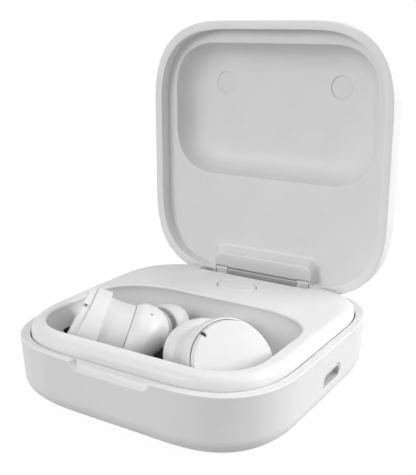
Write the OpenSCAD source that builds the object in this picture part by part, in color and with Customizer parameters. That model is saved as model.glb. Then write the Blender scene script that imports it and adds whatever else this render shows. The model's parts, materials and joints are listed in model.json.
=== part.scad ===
// Wireless earbuds charging case with two earbuds, shown with its lid open.
// Millimetres. +Z is up, -Y is the front, the origin is the middle of the case's flat underside.

/* [Case] */
// Width of the case, left to right
case_w = 72; // [66:0.5:80]
// Depth of the case, front to back
case_d = 72.8; // [66:0.4:80]
// Reach of the rounded corners in plan
corner_r = 24.7; // [20:0.1:28]
// Squareness of the corners, 2 is a circle
corner_n = 2.75; // [2:0.05:3.2]
// Height of the lower half up to the parting plane
base_h = 17; // [16:0.5:20]
// Height of the lid above the parting plane
lid_h = 12.6; // [12.6:0.2:16]
// Width of the shell rims where the two halves meet
rim_w = 2.1; // [1.8:0.1:2.4]
// How far the underside draws in below the side wall
base_draw = 13; // [9:0.5:15]
// How high the curved lower edge of the base reaches
base_curve_h = 7; // [5:0.25:8]
// How far the top of the lid draws in
lid_draw = 14; // [10:0.5:15]
// Height of the straight side wall of the lid
lid_wall_h = 4.5; // [4.5:0.1:5]

/* [Cradle] */
// Height of the cradle deck above the parting plane
deck_rise = 3; // [2:0.1:3]
// Distance from the side of the case to the side of the earbud hollow
hollow_side = 6.2; // [5.8:0.1:6.6]
// Distance from the front of the case to the front edge of the hollow
hollow_front = 6; // [5.7:0.1:6.6]
// Distance from the middle of the case to the rear edge of the hollow
hollow_rear = 8.8; // [7:0.1:10]
// Depth of the hollow's floor below the parting plane
hollow_depth = 12.15; // [12.15:0.05:12.3]
// Wall of the cradle
cradle_wall = 1.2; // [1:0.05:1.4]
// Length of the oval pairing button
button_l = 10.8; // [8:0.2:13]
// Width of the oval pairing button
button_w = 6.8; // [5:0.2:8]
// Travel of the pairing button
button_travel = 0.5; // [0.3:0.05:0.6]

/* [Lid inside] */
// Depth of the lid's liner below its rim
liner_depth = 3.5; // [3.4:0.1:3.8]
// Thickness of the liner
liner_t = 0.9; // [0.7:0.05:1]
// Depth of the lid's earbud hollow below its rim
lid_hollow_depth = 10.4; // [10.4:0.05:10.6]
// Diameter of the round pads over the earbuds
pad_d = 6.2; // [4:0.2:8]
// Opening angle of the lid
lid_open = 90; // [0:1:90]

/* [Hinge] */
// Radius of the hinge knuckles
knuckle_r = 1.2; // [1:0.05:1.3]
// Radius of the hinge pin
pin_r = 0.6; // [0.4:0.05:0.7]
// Width of the hinge block on the lid
block_w = 30.4; // [29.4:0.2:31]
// Length of each outer knuckle
knuckle_l = 3; // [2:0.1:3.4]

/* [Earbuds] */
// Outer radius of an earbud's body
bud_r = 9.75; // [8.5:0.05:9.8]
// Length of the white ring behind the face
ring_l = 5.5; // [4:0.1:6]
// Length of the soft grip band
band_l = 6.5; // [5:0.1:7]
// Length of the inner housing behind the band
housing_l = 9.6; // [9.2:0.1:9.8]
// Height of the domed face at its middle
face_h = 1.9; // [1.8:0.1:2.4]
// Turn of an earbud's face towards the front
bud_yaw = 31.8; // [30:0.1:33]
// Upward tilt of an earbud's face
bud_tilt = 19.9; // [18.6:0.1:20.4]
// Radius of the silicone ear tip
tip_r = 5.3; // [5:0.1:5.6]

/* [Charging port] */
// Width of the port's opening
port_w = 9.2; // [9:0.1:10]
// Height of the port's opening
port_h = 3.4; // [3.3:0.1:3.8]
// Height of the port's middle above the underside
port_z = 9.5; // [9:0.1:11]
// Distance of the port behind the middle of the case
port_y = 2.1; // [1.6:0.1:4]

/* [Hidden] */
$fn = 48;
steps = 10;                        // segments in each rounded corner
fit = 0.3;                         // gap between pieces that slip past each other
snug = 0.02;                       // gap between pieces that seat on each other
clear = 0.15;                      // gap round a moving button
hinge_y = case_d / 2 - 2.1;        // hinge axis, inside the rear wall
hinge_z = base_h + 1.3;            // hinge axis, above the parting plane
shell_t = 1.4;                     // wall of the shells below their rims
base_draft = 0.55;                 // how far the base's wall leans in above its curve
ledge_h = 4;                       // depth of the base's ledge below its rim
deck_inset = rim_w + fit;          // the cradle stands inside the rims
skirt_t = 1.3;                     // wall of the cradle's skirt
deck_z = base_h + deck_rise;       // top of the cradle deck
floor_z = base_h - hollow_depth;   // floor of the earbud hollow
deck_t = 1.8;                      // thickness of the flat part of the deck
lip_r = 0.8;                       // rounding of the hollow's lip
roll_side = 2.2;                   // run of the deck's rounded edge at front and sides
roll_rear = 9;                     // run of the deck's rounded edge at the back
pocket_y = hinge_y - 7.3;          // front edge of the hinge pocket in the deck
pocket_z = base_h - 1.8;           // floor of the hinge pocket
block_front = hinge_y - 5.5;       // hinge block, front and rear ends with the lid shut
block_rear = hinge_y - 0.2;
block_draft = 1.2;                 // slope of the block's front
sweep_r = 2.7;                     // room round the hinge axis for the lid's rear edge
mouth_x = knuckle_l + 11.2;        // outer end of the knuckles
knuckle_x = 11.2;                  // inner end of the outer knuckles
button_y = 19.3;                   // the button's place behind the middle
board_z = base_h - 3.4;            // top of the main board
board_t = 1;
stem_z = board_z + 2.2 + button_travel + 0.05;  // end of the button's stem, above the switch
board_front = hollow_rear + 3.4;
board_half = case_w / 2 - 12;      // half width of the main board
cell_half = case_w / 2 - 18;       // half width of the cell
board_rear = pocket_y - 0.4;
cell_z = shell_t + 0.7;            // underside of the cell
socket_l = hollow_side - 1;        // length of the charging socket
pad_x = case_w / 2 - 18.2;         // places of the lid's pads
pad_y = -case_d / 2 + 17.3;
bud_x = case_w / 2 - hollow_side - 8.2;         // middle of the right earbud's face line
bud_y = -case_d / 2 + hollow_front + 10.25;
bud_z = base_h + 0.87;
shell_wall = 1.1;                  // wall of the earbud's shells
band_r = bud_r - 1.3;              // outer radius of the band where it meets the ring
neck_r = bud_r - 0.9;              // outer radius where the band meets the housing
sleeve_r = neck_r - 1.1;           // sleeve of the housing under the band
nozzle_r = 2.6;                    // sound nozzle
nozzle_yaw = 93.1;                 // direction of the nozzle, from +X towards +Y
nozzle_lift = -8.1;                // rise of the nozzle
nozzle_at = [bud_x - 12.47, bud_y + 7.65, bud_z - 2.37];  // root of the nozzle inside the housing
nozzle_l = 15.2;
mic_turn = 144;                    // place of the microphone slot round the face
face_lean = 8.6;                   // slope of the face, thicker at the bottom
face_dome = 150;                   // radius of the face's dome
pin_angle = 9;                     // the charging contacts sit either side of straight down
contact_s = ring_l + band_l + 2.4; // their place along the earbud

// One rounded corner: a quarter of a superellipse from the angle given
function quarter(cx, cy, rx, ry, n, from) =
    [for (i = [0:steps]) let (t = from + 90 * i / steps, c = cos(t), s = sin(t))
        [cx + rx * sign(c) * pow(abs(c), 2 / n), cy + ry * sign(s) * pow(abs(s), 2 / n)]];

// A rounded box from its sides and its rear and front corners
function rounded(left, right, front, rear, rear_r, front_r, n) = concat(
    quarter(right - rear_r.x, rear - rear_r.y, rear_r.x, rear_r.y, n, 0),
    quarter(left + rear_r.x, rear - rear_r.y, rear_r.x, rear_r.y, n, 90),
    quarter(left + front_r.x, front + front_r.y, front_r.x, front_r.y, n, 180),
    quarter(right - front_r.x, front + front_r.y, front_r.x, front_r.y, n, 270));

// Plan outline of the case, drawn in by an inset
function outline(inset) = let (w = case_w / 2 - inset, d = case_d / 2 - inset, r = corner_r - inset)
    rounded(-w, w, -d, d, [r, r], [r, r], corner_n);

// Plan outline of the cradle's hollow, drawn in by an inset
function hollow(inset) = let (w = case_w / 2 - hollow_side - inset, r = 13 - inset * 0.5)
    rounded(-w, w, -case_d / 2 + hollow_front + inset, hollow_rear - inset, [r + 6, r], [r, r], 2.3);

// Plan outline of the lid's hollow, drawn in by an inset
function lid_hollow(inset) = let (w = case_w / 2 - 5.6 - inset, r = 13 - inset * 0.5)
    rounded(-w, w, -case_d / 2 + 6.2 + inset, case_d / 2 - 30.2 - inset, [r, r], [r, r], 2.3);

// Top edge of the deck, where its rounded sides end
function deck_top(share) = let (o = outline(deck_inset), i = rounded(
        -case_w / 2 + deck_inset + roll_side, case_w / 2 - deck_inset - roll_side,
        -case_d / 2 + deck_inset + roll_side, case_d / 2 - deck_inset - roll_rear,
        [21, 17], [corner_r - 4.6, corner_r - 4.6], corner_n))
    [for (k = [0:len(o) - 1]) o[k] + (i[k] - o[k]) * share];

// The same points drawn onto a rectangle through the middles of the corners, for a foot that stands firm
function squared(points, share) = let (c = points[floor(steps / 2)] * share)
    [for (p = points) p / max(abs(p.x) / c.x, abs(p.y) / c.y)];

function ring(points, z) = [for (p = points) [p.x, p.y, z]];
function flat(lists) = [for (l = lists) for (p = l) p];

// Inset and height of a curved edge, u from 0 at the wall to 1 at the flat
function edge_in(u, draw) = draw * (1 - cos(90 * u));
function edge_up(u, rise) = rise * sin(90 * u);

// A closed skin through rings of points, capped at its first and last ring
module loft(rings) {
    n = len(rings[0]);
    m = len(rings);
    polyhedron(flat(rings), concat(
        [[for (j = [0:n - 1]) j]],
        [for (i = [0:m - 2]) for (j = [0:n - 1]) let (k = (j + 1) % n)
            [i * n + j, (i + 1) * n + j, (i + 1) * n + k]],
        [for (i = [0:m - 2]) for (j = [0:n - 1]) let (k = (j + 1) % n)
            [i * n + j, (i + 1) * n + k, i * n + k]],
        [[for (j = [n - 1:-1:0]) (m - 1) * n + j]]), convexity = 6);
}

// A bar along X with round ends in Y, used for the button and the port
module oval(l, w, h) {
    for (s = [-1, 1]) translate([s * (l - w) / 2, 0, 0]) cylinder(r = w / 2, h = h);
    translate([-(l - w) / 2, -w / 2, 0]) cube([l - w, w, h]);
}

// Moves children from the shut position to the open one
module opened() {
    on_hinge() rotate([-lid_open, 0, 0]) translate([0, -hinge_y, -hinge_z]) children();
}

// Moves children onto the hinge axis
module on_hinge() { translate([0, hinge_y, hinge_z]) children(); }

// A cylinder along X centred on x = 0
module along_x(r, l) { rotate([0, 90, 0]) translate([0, 0, -l / 2]) cylinder(r = r, h = l); }

// Moves children into the port's axes, pointing out of the right side
module at_port() {
    translate([case_w / 2, port_y, port_z]) rotate([0, 90, 0]) rotate([0, 0, 90]) children();
}

// Lower shell: an open tub with a ledge for the cradle, a port, a thumb notch and a relief for the lid
module base_shell() {
    curve = [for (u = [0.8:-0.2:0]) u];
    lean = base_draft;
    color([0.93, 0.93, 0.93]) difference() {
        loft(concat(
            [ring(squared(outline(base_draw), 0.93), 0)],
            [for (u = curve) ring(outline(lean + edge_in(u, base_draw - lean)),
                base_curve_h - edge_up(u, base_curve_h))],
            [ring(outline(0), base_h), ring(outline(rim_w), base_h)],
            [ring(outline(rim_w), base_h - ledge_h), ring(outline(deck_inset + skirt_t), base_h - ledge_h)],
            [for (u = [0:0.25:1]) ring(outline(shell_t + 1 + edge_in(u, base_draw - 1)),
                base_curve_h + 0.6 - edge_up(u, base_curve_h + 0.6 - shell_t))]));
        at_port() translate([0, 0, -rim_w - 3]) oval(port_w + 2 * snug, port_h + 2 * snug, rim_w + 4);
        for (s = [-1, 1]) translate([s * 8, -case_d / 2, base_h]) rotate([-90, 0, 0])
            translate([0, 0, -1]) cylinder(r = 2.2, h = 2.4);
        translate([-8, -case_d / 2 - 1, base_h - 2.2]) cube([16, 2.4, 3]);
        translate([-22.5, hinge_y - 2, base_h - 1.1]) cube([45, 5, 3]);
        on_hinge() along_x(sweep_r, 52);
    }
}

// Cradle: the white deck with its raised lip, the earbud hollow and the skirt that stands on the ledge
module cradle_deck() {
    w = cradle_wall;
    under = deck_z - deck_t;
    roll = [for (u = [0:0.2:1]) u];
    color([0.95, 0.95, 0.95]) union() {
        difference() {
            cradle_skin(w, under, roll);
            cradle_cuts(under);
        }
        cradle_bosses(under);
    }
}

// Outer and inner faces of the cradle
module cradle_skin(w, under, roll) {
    loft(concat(
        [ring(hollow(10.6 - w), floor_z - w), ring(hollow(7 - w), floor_z + 0.9 - w)],
        [ring(hollow(3.6 - w), floor_z + 3.25 - w), ring(hollow(2 - w), floor_z + 4.95 - w)],
        [ring(hollow(0.85 - w), base_h - 4 - w), ring(hollow(0.6 - w), under)],
        [ring(outline(deck_inset + skirt_t), under)],
        [ring(outline(deck_inset + skirt_t), base_h - ledge_h + snug)],
        [ring(outline(deck_inset), base_h - ledge_h + snug)],
        [for (u = roll) ring(deck_top(1 - cos(90 * u)), base_h + 0.6 + edge_up(u, deck_rise - 0.6))],
        [ring(hollow(0), deck_z), ring(hollow(0.3), deck_z - 0.2), ring(hollow(0.6), deck_z - lip_r)],
        [ring(hollow(0.75), base_h - 1), ring(hollow(0.85), base_h - 4), ring(hollow(2), floor_z + 4.95)],
        [ring(hollow(3.6), floor_z + 3.25), ring(hollow(7), floor_z + 0.9), ring(hollow(10.6), floor_z)]));
}

// Holes in the cradle: the button, the hinge pocket and relief, and the charging pins
module cradle_cuts(under) {
    translate([0, button_y, under - 1]) oval(button_l + 2 * clear, button_w + 2 * clear, 4);
    translate([-17.2, pocket_y, pocket_z]) cube([34.4, 12, 8]);
    on_hinge() along_x(sweep_r, 52);
    for (s = [0, 1]) mirror([s, 0, 0]) each_pin() translate([0, 0, -3]) cylinder(r = 0.7, h = 6);
}

// Two bosses under the deck that take the board's screws
module cradle_bosses(under) {
    for (p = screw_places()) translate([p.x, p.y, board_z + snug]) difference() {
        cylinder(r = 2.2, h = under - board_z + 0.2);
        translate([0, 0, -1]) cylinder(r = 0.8 + snug, h = 4);
    }
}

// Hinge mount: the plate on the cradle's skirt with the two outer knuckles
module hinge_mount() {
    color([0.9, 0.9, 0.9]) difference() {
        union() {
            translate([-16.9, pocket_y + fit, pocket_z + snug]) cube([33.8, 4.1, 1.4]);
            translate([-mouth_x, pocket_y + fit, pocket_z + snug])
                cube([2 * mouth_x, case_d / 2 - deck_inset - pocket_y - fit, 1.4]);
            for (s = [-1, 1]) translate([s * (knuckle_x + knuckle_l / 2), 0, 0]) {
                translate([-knuckle_l / 2, hinge_y - 1.7, pocket_z + 0.5])
                    cube([knuckle_l, 1.4, base_h - pocket_z - 0.5]);
                translate([-knuckle_l / 2, hinge_y - 1.2, base_h - 0.1])
                    cube([knuckle_l, 1.2, hinge_z + 1.25 - base_h]);
                on_hinge() along_x(knuckle_r, knuckle_l);
            }
        }
        on_hinge() along_x(pin_r + snug, 40);
    }
}

// Hinge pin: a steel rod through both outer knuckles and the leaf
module hinge_pin() {
    color([0.7, 0.71, 0.73]) on_hinge() along_x(pin_r, 2 * mouth_x);
}

// Charging socket: a drawn steel sleeve behind the port
module usb_socket() {
    color([0.66, 0.67, 0.69]) at_port() translate([0, 0, -socket_l - 0.5]) difference() {
        oval(port_w, port_h, socket_l);
        translate([0, 0, 0.6]) oval(port_w - 0.7, port_h - 0.7, socket_l);
    }
}

// Contact tongue inside the charging socket
module usb_tongue() {
    color([0.12, 0.12, 0.13]) at_port() translate([-3.4, -0.35, -socket_l + 0.1])
        cube([6.8, 0.7, socket_l - 1.6]);
}

// Main board across the back of the case
module main_board() {
    color([0.1, 0.35, 0.2]) difference() {
        translate([-board_half, board_front, board_z - board_t])
            cube([2 * board_half, board_rear - board_front, board_t]);
        for (p = screw_places()) translate([p.x, p.y, board_z - 2]) cylinder(r = 0.9, h = 4);
    }
}

function screw_places() = [for (s = [-1, 1]) [s * (board_half - 4), (board_front + board_rear) / 2]];

// Two screws that hold the board up against the cradle
module board_screws() {
    color([0.6, 0.61, 0.63]) for (p = screw_places()) translate([p.x, p.y, 0]) {
        translate([0, 0, board_z - board_t - 0.9]) cylinder(r = 1.6, h = 0.9 - snug);
        translate([0, 0, board_z - board_t - 0.1]) cylinder(r = 0.8, h = board_t + 2.8);
    }
}

// Rechargeable cell below the board
module case_battery() {
    color([0.2, 0.22, 0.26]) translate([-cell_half, board_front + 0.5, cell_z])
        cube([2 * cell_half, board_rear - board_front - 2.5, board_z - board_t - 1.2 - cell_z]);
}

// Foam pad that seats the cell on the floor of the base
module battery_pad() {
    color([0.3, 0.3, 0.31]) translate([3 - cell_half, board_front + 0.8, shell_t + snug])
        cube([2 * cell_half - 6, case_d / 2 - 16.2 - board_front, cell_z - shell_t - 2 * snug]);
}

// Tact switch on the board under the button
module tact_switch() {
    color([0.15, 0.15, 0.16]) translate([0, button_y, 0]) {
        translate([-2.2, -2.2, board_z + snug]) cube([4.4, 4.4, 1.6]);
        translate([0, 0, board_z + 1.6]) cylinder(r = 1, h = 0.6);
    }
}

// Places of a right-hand earbud's two charging pins, in plan
module each_pin() {
    for (s = [-1, 1]) translate([pin_place(s).x, pin_place(s).y, floor_z]) children();
}
function bud_down() = [cos(bud_yaw) * sin(bud_tilt), -sin(bud_yaw) * sin(bud_tilt), -cos(bud_tilt)];
function bud_side() = [-sin(bud_yaw), -cos(bud_yaw), 0];
function bud_axis() = [cos(bud_yaw) * cos(bud_tilt), -sin(bud_yaw) * cos(bud_tilt), sin(bud_tilt)];
function pin_place(s) = [bud_x, bud_y, bud_z] - contact_s * bud_axis()
    + (neck_r - 0.9) * (cos(pin_angle * 1.6) * bud_down() + s * sin(pin_angle * 1.6) * bud_side());

// Flexible strip under the hollow that carries the charging pins
module charge_flex() {
    color([0.75, 0.5, 0.2]) translate([4.6 - bud_x, bud_y + 1.8, floor_z - cradle_wall - 0.5 - snug])
        cube([2 * bud_x - 9.2, 7, 0.5]);
}

// Sprung charging pins in the floor of the hollow
module charge_pins() {
    color([0.83, 0.68, 0.35]) for (s = [0, 1]) mirror([s, 0, 0]) each_pin()
        translate([0, 0, -cradle_wall]) cylinder(r = 0.65, h = cradle_wall + 0.4);
}

// Bar magnet behind the front lip that holds the lid shut
module base_magnet() {
    color([0.45, 0.45, 0.47]) translate([-7, -case_d / 2 + deck_inset + skirt_t + snug, base_h - 3])
        cube([14, 0.9, 4]);
}

// Oval pairing button with a flange that keeps it in the deck
module pairing_button() {
    under = deck_z - deck_t;
    color([0.96, 0.96, 0.96]) translate([0, button_y, 0]) {
        translate([0, 0, under - 0.9]) oval(button_l, button_w, deck_z - under + 0.95);
        translate([0, 0, under - 0.9]) oval(button_l + 1.4, button_w + 1.4, 0.9 - snug);
        translate([0, 0, stem_z]) cylinder(r = 1.4, h = under - 0.5 - stem_z);
    }
}

// Lid shell: an upturned tub with a ledge for the liner and a notch for the hinge
module lid_shell() {
    rise = lid_h - lid_wall_h;
    color([0.93, 0.93, 0.93]) opened() difference() {
        loft(concat(
            [for (u = [1:-0.25:0]) ring(outline(shell_t + 0.6 + edge_in(u, lid_draw - 1)),
                base_h + lid_wall_h + 0.2 + edge_up(u, rise - 0.2 - 1.1))],
            [ring(outline(shell_t + 0.6 + 1.2), base_h + liner_depth + liner_t)],
            [ring(outline(rim_w), base_h + liner_depth + liner_t)],
            [ring(outline(rim_w), base_h), ring(outline(0), base_h)],
            [for (u = [0:0.2:1]) ring(outline(edge_in(u, lid_draw)),
                base_h + lid_wall_h + edge_up(u, rise))]));
        translate([-mouth_x - 0.4, hinge_y - 2.5, base_h - 1]) cube([2 * mouth_x + 0.8, 6, 3.7]);
    }
}

// Liner: the inner panel of the lid with the hollow that clears the earbuds
module lid_liner() {
    t = liner_t;
    low = base_h + liner_depth;
    top = base_h + lid_hollow_depth;
    color([0.88, 0.88, 0.88]) opened() difference() {
        loft(concat(
            [ring(lid_hollow(9), top), ring(lid_hollow(6), top - 0.25), ring(lid_hollow(3.4), top - 1.3)],
            [ring(lid_hollow(1.6), top - 3.2), ring(lid_hollow(0.6), low + 0.6), ring(lid_hollow(0), low)],
            [ring(outline(rim_w + 0.1), low), ring(outline(rim_w + 0.1), low + t - snug)],
            [ring(lid_hollow(0.6 - t), low + t - snug), ring(lid_hollow(1.6 - t), top - 3.2 + 0.4)],
            [ring(lid_hollow(3.4 - t), top - 1.3 + 0.7)],
            [ring(lid_hollow(6 - t), top - 0.25 + t), ring(lid_hollow(9), top + t)]));
        pad_places() translate([0, 0, -1]) cylinder(r = pad_d / 2 + snug, h = 1.5);
    }
}

// Places of the two round pads on the liner's hollow, on its floor
module pad_places() {
    for (s = [-1, 1]) translate([s * pad_x, pad_y, base_h + lid_hollow_depth]) children();
}

// Two soft round pads let into the liner over the earbuds
module lid_pads() {
    color([0.87, 0.87, 0.87]) opened() pad_places() translate([0, 0, -0.05])
        cylinder(r = pad_d / 2, h = 0.55 - snug);
}

// Bar magnet behind the front strip of the liner
module lid_magnet() {
    behind = base_h + liner_depth + liner_t + snug;
    color([0.45, 0.45, 0.47]) opened() translate([-7, -case_d / 2 + 3.9, behind]) cube([14, 1.4, 2.2]);
}

// Hinge block: the raised cover inside the lid over the hinge leaf, with cheeks beside the knuckles
module hinge_block() {
    root = base_h + liner_depth - snug;
    color([0.88, 0.88, 0.88]) opened() difference() {
        hull() {
            block_slice(base_h + 0.3, block_w / 2 - 0.25, block_front + 0.25);
            block_slice(base_h + 0.6, block_w / 2, block_front);
            block_slice(root - 0.1, block_w / 2 + 0.3, block_front - block_draft);
        }
        for (s = [-1, 1]) translate([s * (knuckle_x + knuckle_l / 2), hinge_y - 1.85, base_h])
            translate([-knuckle_l / 2 - fit, 0, 0]) cube([knuckle_l + 2 * fit, 3, hinge_z + 1.5 - base_h]);
        on_hinge() along_x(knuckle_r + 0.25, 2 * knuckle_x);
        translate([-knuckle_x, block_front + 0.8, hinge_z + 0.4]) cube([2 * knuckle_x, 6, 0.8 + 2 * snug]);
    }
}

// One thin slice of the hinge block with its two front corners rounded
module block_slice(z, half, front) {
    for (s = [-1, 1]) translate([s * (half - 1.6), front + 1.6, z]) cylinder(r = 1.6, h = 0.1, $fn = 24);
    translate([-half, block_rear - 0.5, z]) cube([2 * half, 0.5, 0.1]);
}

// Hinge leaf: a dark steel barrel on the pin with a plate that runs into the block
module hinge_leaf() {
    l = 2 * knuckle_x - 2 * clear;
    color([0.33, 0.33, 0.34]) opened() difference() {
        union() {
            on_hinge() along_x(knuckle_r, l);
            translate([-l / 2, block_front + 0.9, hinge_z + 0.4 + snug])
                cube([l, hinge_y - block_front - 0.9, 0.8]);
        }
        on_hinge() along_x(pin_r + 0.05, 40);
    }
}

// Moves children onto a right-hand earbud: local z runs from the face to the housing, x points down
module at_bud() {
    translate([bud_x, bud_y, bud_z]) rotate([0, 90 + bud_tilt, 180 - bud_yaw]) children();
}

// Moves children onto the sound nozzle: local z runs out of the nozzle
module at_nozzle() { translate(nozzle_at) rotate([0, 90 - nozzle_lift, nozzle_yaw]) children(); }

// Domed face of an earbud, thicker at the bottom, with a microphone slot at its edge
module bud_face() {
    color([0.96, 0.96, 0.96]) at_bud() difference() {
        intersection() {
            rotate_extrude() polygon([
                [0, 0], [bud_r - 0.35, 0], [bud_r - 0.4, -1.2], [bud_r - 0.65, -2.2],
                [bud_r - 1.35, -3.1], [bud_r - 2.8, -3.7], [0, -4.2]]);
            translate([0, 0, -face_h]) rotate([0, face_lean, 0]) translate([0, 0, face_dome])
                sphere(r = face_dome, $fn = 180);
        }
        rotate([0, 0, mic_turn]) translate([bud_r - 1.2, -0.45, -3]) cube([1.2, 0.9, 2.9]);
    }
}

// White ring behind the face
module bud_ring() {
    color([0.97, 0.97, 0.97]) at_bud() rotate_extrude() polygon([
        [bud_r - 1.6, snug], [bud_r - 0.3, snug], [bud_r, 0.4],
        [bud_r, ring_l - 0.3], [bud_r - 0.25, ring_l],
        [sleeve_r + snug, ring_l], [sleeve_r + snug, ring_l - 1.2], [bud_r - 1.6, ring_l - 1.2]]);
}

// Soft grip band stretched over the housing's sleeve
module bud_band() {
    end = ring_l + band_l;
    color([0.86, 0.86, 0.87]) at_bud() rotate_extrude() polygon([
        [sleeve_r + snug, ring_l + snug], [band_r, ring_l + snug], [band_r - 0.1, ring_l + band_l * 0.4],
        [neck_r - 0.25, end - 0.2], [neck_r - 0.35, end - snug], [sleeve_r + snug, end - snug]]);
}

// Inner housing: the sleeve under the band, the rounded back and the sound nozzle
module bud_housing() {
    back = ring_l + band_l;
    wall = shell_wall + 0.1;
    color([0.97, 0.97, 0.97]) difference() {
        union() {
            at_bud() translate([0, 0, ring_l - 1.2]) cylinder(r = sleeve_r, h = band_l + 1.3);
            at_bud() housing_back(0, 9);
            at_nozzle() translate([0, 0, 3]) cylinder(r = nozzle_r, h = nozzle_l - 3);
        }
        at_bud() translate([0, 0, ring_l - 2]) cylinder(r = sleeve_r - 0.9, h = band_l + 3.6);
        at_bud() translate([0, 0, wall]) housing_back(wall, 7);
        at_nozzle() cylinder(r = nozzle_r - 0.8, h = nozzle_l + 2);
        translate(nozzle_at) rotate([0, 37, 186]) cylinder(r = 0.35, h = 9);
        at_bud() for (s = [-1, 1]) rotate([0, 0, s * pin_angle * 1.6]) translate([0, 0, contact_s])
            rotate([0, 90, 0]) cylinder(r = 0.9 + snug, h = neck_r + 1);
    }
}

// Reaches of the housing's back, all as shares: along, up, down and to the sides
function back_reach() = [
    [0.002, 0.983, 0.983, 0.983], [0.03, 1.011, 1, 1.006], [0.16, 1.085, 0.944, 1.085],
    [0.31, 1.107, 0.881, 1.107], [0.48, 1.1, 0.791, 1.079], [0.65, 1.04, 0.667, 0.994],
    [0.79, 0.927, 0.486, 0.847], [0.91, 0.791, 0.249, 0.633], [0.98, 0.633, -0.068, 0.384],
    [1, 0.497, -0.271, 0.136]];

// The rounded back of the housing, fuller above than below, drawn in by an inset
module housing_back(inset, last) {
    long = housing_l - 2.2 * inset;
    loft([for (k = [0:last])
        let (q = back_reach()[k], up = neck_r * q[1] - inset, down = neck_r * q[2] - inset)
        [for (a = [0:10:350]) [(down - up) / 2 + (up + down) / 2 * cos(a),
            (neck_r * q[3] - inset) * sin(a), ring_l + band_l + long * q[0]]]]);
}

// Silicone ear tip: a dome that folds back over the nozzle
module bud_tip() {
    color([0.87, 0.87, 0.88]) at_nozzle() rotate_extrude() polygon(concat(
        [[nozzle_r + snug, nozzle_l - 4.4], [nozzle_r + 0.8, nozzle_l - 4.4]],
        [[nozzle_r + 0.8, nozzle_l - 0.6], [tip_r - 1.1, nozzle_l - 4.6], [tip_r - 0.4, nozzle_l - 5.2]],
        [for (u = [0:0.125:1]) [nozzle_r + (tip_r - nozzle_r) * cos(90 * u),
            nozzle_l - 4.4 + 5.6 * sin(90 * u)]],
        [[nozzle_r - 0.6, nozzle_l + 1.2], [nozzle_r - 0.6, nozzle_l + 0.1]],
        [[nozzle_r + snug, nozzle_l + 0.1]]));
}

// Mesh disc in the nozzle's mouth
module bud_mesh() {
    color([0.4, 0.4, 0.42]) at_nozzle() translate([0, 0, nozzle_l - 0.5])
        cylinder(r = nozzle_r - 0.8 - snug, h = 0.4);
}

// Gold charging contacts under the housing
module bud_contacts() {
    color([0.83, 0.68, 0.35]) at_bud() for (s = [-1, 1]) rotate([0, 0, s * pin_angle * 1.6])
        translate([neck_r - 2.2, 0, contact_s]) rotate([0, 90, 0]) cylinder(r = 0.9, h = 1.3);
}

// Coin cell in the sleeve
module bud_battery() {
    color([0.72, 0.73, 0.75]) at_bud() translate([0, 0, ring_l])
        cylinder(r = sleeve_r - 0.9 - snug, h = 4.6);
}

// Dynamic driver between the cell and the nozzle
module bud_driver() {
    color([0.25, 0.25, 0.27]) at_bud() translate([0, 0, ring_l + 4.7]) cylinder(r = 5, h = 3);
}

// Round circuit board behind the face
module bud_board() {
    color([0.1, 0.35, 0.2]) at_bud() translate([0, 0, ring_l - 2.6])
        cylinder(r = bud_r - 1.6 - snug, h = 0.8);
}

// The left earbud mirrors the right one
module left() { mirror([1, 0, 0]) children(); }

base_shell();
cradle_deck();
hinge_mount();
hinge_pin();
usb_socket();
usb_tongue();
main_board();
board_screws();
case_battery();
battery_pad();
tact_switch();
charge_flex();
charge_pins();
base_magnet();
pairing_button();
lid_shell();
lid_liner();
lid_pads();
lid_magnet();
hinge_block();
hinge_leaf();
bud_face();  // right_bud_face
bud_ring();  // right_bud_ring
bud_band();  // right_bud_band
bud_housing();  // right_bud_housing
bud_tip();  // right_bud_tip
bud_mesh();  // right_bud_mesh
bud_contacts();  // right_bud_contacts
bud_battery();  // right_bud_battery
bud_driver();  // right_bud_driver
bud_board();  // right_bud_board
left() bud_face();  // left_bud_face
left() bud_ring();  // left_bud_ring
left() bud_band();  // left_bud_band
left() bud_housing();  // left_bud_housing
left() bud_tip();  // left_bud_tip
left() bud_mesh();  // left_bud_mesh
left() bud_contacts();  // left_bud_contacts
left() bud_battery();  // left_bud_battery
left() bud_driver();  // left_bud_driver
left() bud_board();  // left_bud_board
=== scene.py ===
import json
import math

import bmesh
import bpy
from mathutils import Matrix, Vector


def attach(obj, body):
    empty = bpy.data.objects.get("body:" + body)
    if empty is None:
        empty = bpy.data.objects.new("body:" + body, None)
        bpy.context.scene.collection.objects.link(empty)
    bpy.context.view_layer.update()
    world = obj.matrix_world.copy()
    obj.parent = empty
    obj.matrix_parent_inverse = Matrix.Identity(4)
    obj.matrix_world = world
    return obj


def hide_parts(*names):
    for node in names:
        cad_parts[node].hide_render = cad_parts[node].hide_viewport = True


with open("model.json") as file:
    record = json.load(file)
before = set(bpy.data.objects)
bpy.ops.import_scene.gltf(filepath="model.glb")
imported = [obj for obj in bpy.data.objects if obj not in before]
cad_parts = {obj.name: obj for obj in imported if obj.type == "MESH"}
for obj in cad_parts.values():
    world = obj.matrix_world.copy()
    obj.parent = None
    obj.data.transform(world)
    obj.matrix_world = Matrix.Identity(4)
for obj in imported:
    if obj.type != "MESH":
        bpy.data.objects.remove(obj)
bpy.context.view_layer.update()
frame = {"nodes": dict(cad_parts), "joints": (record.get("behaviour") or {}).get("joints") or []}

# BASE SHELL
# The lower half of the case: one injection moulding in satin white polycarbonate, an open tub with a
# rolled underside, a thumb notch in its front rim and the charging port moulded through its right wall.
CASE_W, CASE_D, BASE_H = 72.0, 72.8, 17.0  # millimetres, like every size below; a mesh is made in metres
CORNER_R, CORNER_N = 24.7, 2.75
RIM_W = 2.1
LEDGE_Z, LEDGE_INSET = 13.0, 3.7
MM = 0.001


# Angles from start to end, given in degrees
def turn(start, end, steps):
    return [math.radians(start + (end - start) * i / steps) for i in range(steps + 1)]


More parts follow.
